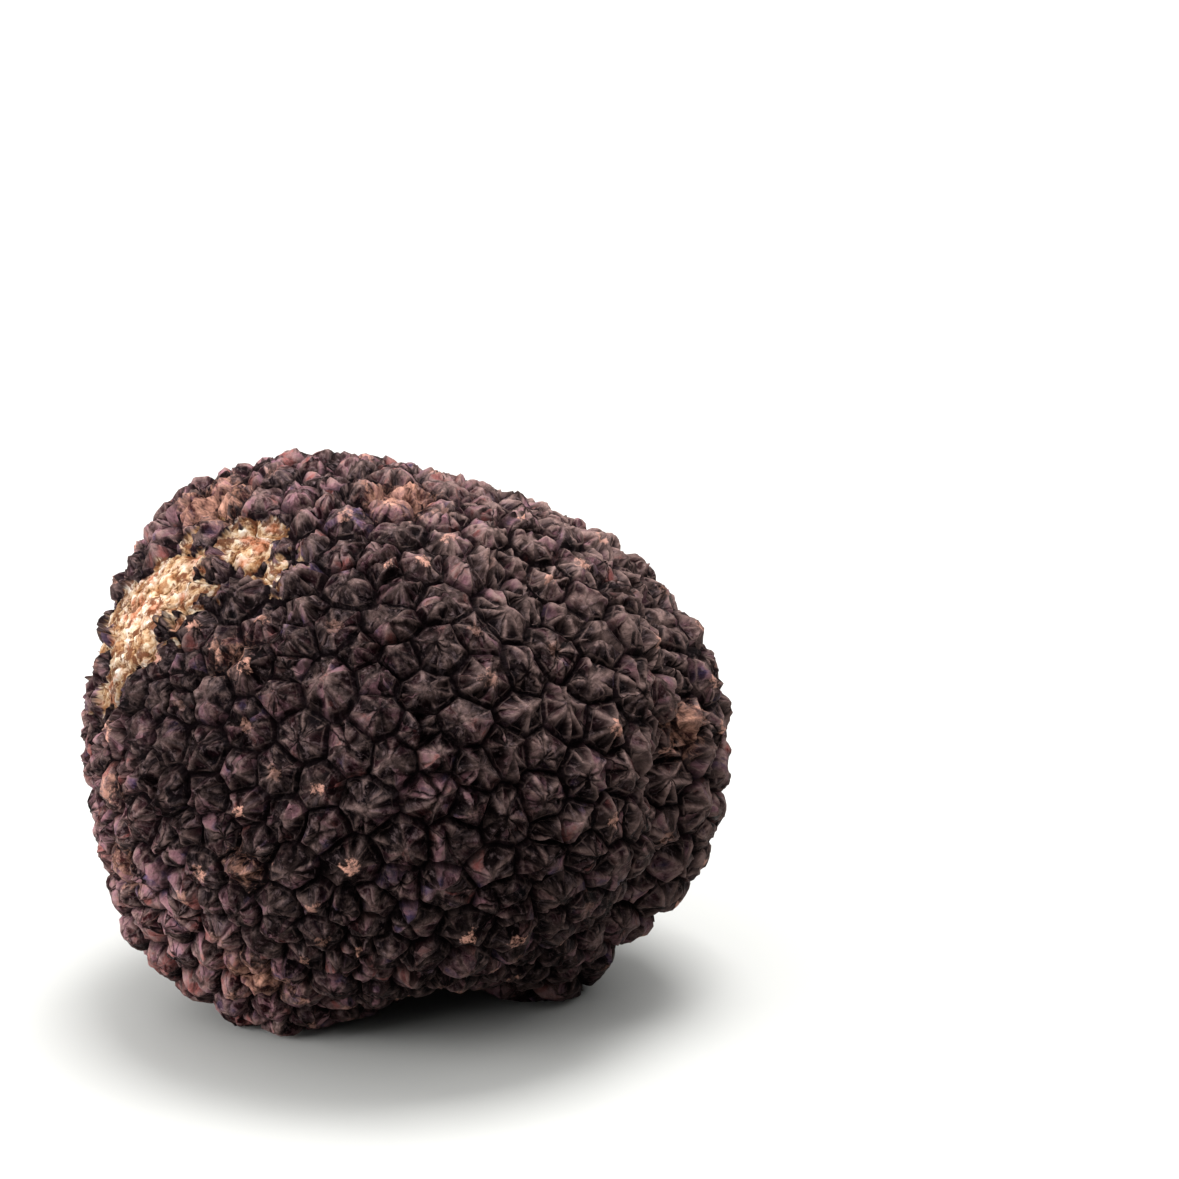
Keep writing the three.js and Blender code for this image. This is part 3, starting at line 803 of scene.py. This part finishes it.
    # Tips rubbed tan on some warts, and whole places scuffed brown.
    tipped_wart = add(tree, "ShaderNodeMapRange", {"Value": draws["Value"], **TIPPED_WARTS})
    ragged_tip = add(tree, "ShaderNodeMath", {0: scurf, 1: inset}, operation="ADD")
    tip_core = add(tree, "ShaderNodeMapRange", {"Value": ragged_tip, **TIP_CORE})
    tip_share = add(tree, "ShaderNodeMath", {0: tipped_wart, 1: tip_core}, operation="MULTIPLY")
    tip_fleck = add(tree, "ShaderNodeMapRange", {"Value": scurf, **TIP_FLECKS})
    tip_some = add(tree, "ShaderNodeMath", {0: tip_share, 1: tip_fleck}, operation="MULTIPLY")
    tipped = add(tree, "ShaderNodeMix", {"Factor": tip_some, "A": dimmed, "B": colour(TIP_TONE)},
                 data_type="RGBA")
    ragged_scuff = add(tree, "ShaderNodeMath", {0: scurf, 1: SCUFF_RAGGED, 2: scuffed},
                       operation="MULTIPLY_ADD")
    scuff = add(tree, "ShaderNodeMapRange", {"Value": ragged_scuff, **SCUFF})
    scuff_tone = add(tree, "ShaderNodeValToRGB", {"Fac": mottle}, stops=SCUFF_TONES)
    scuff_some = add(tree, "ShaderNodeMath", {0: scuff, 1: SCUFF_STRENGTH}, operation="MULTIPLY")
    browned = add(tree, "ShaderNodeMix", {"Factor": scuff_some, "A": tipped, "B": scuff_tone},
                  data_type="RGBA")

    # Painted shade in the grooves and splits.
    groove_shade_share = add(tree, "ShaderNodeMapRange", {"Value": mottle, **GROOVE_SHADE_STRENGTH})
    groove_shade_some = add(tree, "ShaderNodeMath", {0: hollow, 1: groove_shade_share}, operation="MULTIPLY")
    groove_shaded = add(tree, "ShaderNodeMix", {"Factor": groove_shade_some, "A": browned, "B": colour(GROOVE_SHADE_TONE)},
                  data_type="RGBA")

    # Flesh: pale crumbs, tan to brown in the pits between them, pinkish in places, with small holes that
    # are filled with brown dust.
    crumbs = waves(tree, place, CRUMB_SIZE, seed, **CRUMBLY)
    gritty = add(tree, "ShaderNodeMath", {0: off_middle(tree, scurf), 1: GRIT_TONE, 2: crumbs},
                 operation="MULTIPLY_ADD")
    crumb_tone = add(tree, "ShaderNodeValToRGB", {"Fac": gritty}, stops=FLESH_TONES)
    flush = waves(tree, place, FLUSH_SIZE, seed)
    flush_tone = add(tree, "ShaderNodeValToRGB", {"Fac": flush}, stops=FLUSH_TONES)
    flushed = add(tree, "ShaderNodeMix", {"Factor": 1.0, "A": crumb_tone, "B": flush_tone},
                  data_type="RGBA", blend_type="MULTIPLY")
    hollows = waves(tree, place, HOLE_SIZE, seed, **HOLED)
    hole = add(tree, "ShaderNodeMapRange", {"Value": hollows, **HOLES})
    holed = add(tree, "ShaderNodeMix", {"Factor": hole, "A": flushed, "B": colour(DUST_TONE)},
                data_type="RGBA")
    flesh_shade = add(tree, "ShaderNodeMapRange", {"Value": bare, **FLESH_SHADE})
    flesh_tone = add(tree, "ShaderNodeVectorMath", {0: holed, "Scale": flesh_shade}, operation="SCALE")
    flesh = bare_share(tree, place, bare, lot, seed)
    base = add(tree, "ShaderNodeMix", {"Factor": flesh, "A": groove_shaded, "B": flesh_tone}, data_type="RGBA")

    relief = add(tree, "ShaderNodeMath", {0: chips["Distance"], 1: CHIP_DROP, 2: scurf},
                 operation="MULTIPLY_ADD")
    bump = add(tree, "ShaderNodeBump", {"Height": relief, "Strength": 1.0, "Distance": BUMP_HEIGHT})
    roughness = add(tree, "ShaderNodeMapRange", {"Value": hollow, **ROUGHNESS})
    surface = add(tree, "ShaderNodeBsdfPrincipled", {"Base Color": base, "Roughness": roughness,
                                                     "Normal": bump, "Specular IOR Level": SHINE})
    add(tree, "ShaderNodeOutputMaterial", {"Surface": surface})
    return material


def floor_material():
    """Matt white studio floor, painted board."""
    material = bpy.data.materials.new("studio_floor")
    material.use_nodes = True
    surface = material.node_tree.nodes["Principled BSDF"].inputs
    surface["Base Color"].default_value = colour(FLOOR_TONE)
    surface["Roughness"].default_value = FLOOR_ROUGHNESS
    surface["Specular IOR Level"].default_value = FLOOR_SHINE
    return material


# ---- Stage, light and camera ----------------------------------------------------------------------------

FLOOR_HALF_WIDTH = 4.0
# The camera looks down by this angle at this point, from this far, through a lens of this length in
# millimetres. It sees nothing nearer than the last distance.
LOOK_DOWN = math.radians(16.0)
LOOK_AT = Vector((19.09, 4.28, 43.93)) * MM
CAMERA_DISTANCE = 342.6 * MM
CAMERA_LENS = 100.0
NEAREST_SEEN = 10.0 * MM

# Square soft boxes: name, place, the point that they face, breadth in metres and power in watts.
LIGHTS = [
    ("dome", (-0.15, -0.1, 2.6), (-0.15, -0.1, 0.0), 6.5, 410.0),
    ("key", (0.44, 0.24, 3.6), (0.0, 0.0, 0.03), 1.6, 262.0),
    ("left", (-0.84, -0.36, 0.3), (0.0, 0.0, 0.02), 0.6, 20.0),
    ("far floor", (0.0, 1.8, 1.6), (0.0, 1.8, 0.0), 1.5, 10.0),
]
ROOM_TONE = 0xFFFFFF
ROOM_STRENGTH = 0.1


def build_floor():
    mesh = bmesh.new()
    bmesh.ops.create_grid(mesh, x_segments=1, y_segments=1, size=FLOOR_HALF_WIDTH)
    made = bpy.data.meshes.new("floor")
    mesh.to_mesh(made)
    mesh.free()
    made.materials.append(floor_material())
    floor = bpy.data.objects.new("floor", made)
    bpy.context.scene.collection.objects.link(floor)


def build_camera():
    camera = bpy.data.objects.new("camera", bpy.data.cameras.new("camera"))
    bpy.context.scene.collection.objects.link(camera)
    back = Vector((0, -math.cos(LOOK_DOWN), math.sin(LOOK_DOWN)))
    camera.location = LOOK_AT + back * CAMERA_DISTANCE
    camera.rotation_euler = (math.pi / 2 - LOOK_DOWN, 0, 0)
    camera.data.lens = CAMERA_LENS
    camera.data.clip_start = NEAREST_SEEN
    bpy.context.scene.camera = camera


def build_light(name, at, towards, breadth, power):
    light = bpy.data.objects.new(name, bpy.data.lights.new(name, "AREA"))
    bpy.context.scene.collection.objects.link(light)
    light.location = at
    light.rotation_euler = (Vector(towards) - Vector(at)).to_track_quat("-Z", "Y").to_euler()
    light.data.size = breadth
    light.data.energy = power


def build_room():
    room = bpy.data.worlds.new("studio")
    room.use_nodes = True
    backdrop = room.node_tree.nodes["Background"].inputs
    backdrop["Color"].default_value = colour(ROOM_TONE)
    backdrop["Strength"].default_value = ROOM_STRENGTH
    bpy.context.scene.world = room
    bpy.context.scene.view_settings.view_transform = "Standard"


build_camera()
build_floor()
build_room()
for light in LIGHTS:
    build_light(*light)

truffle = finished_skin(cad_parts["truffle"], peridium_material())
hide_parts("truffle")
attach(truffle, "root")
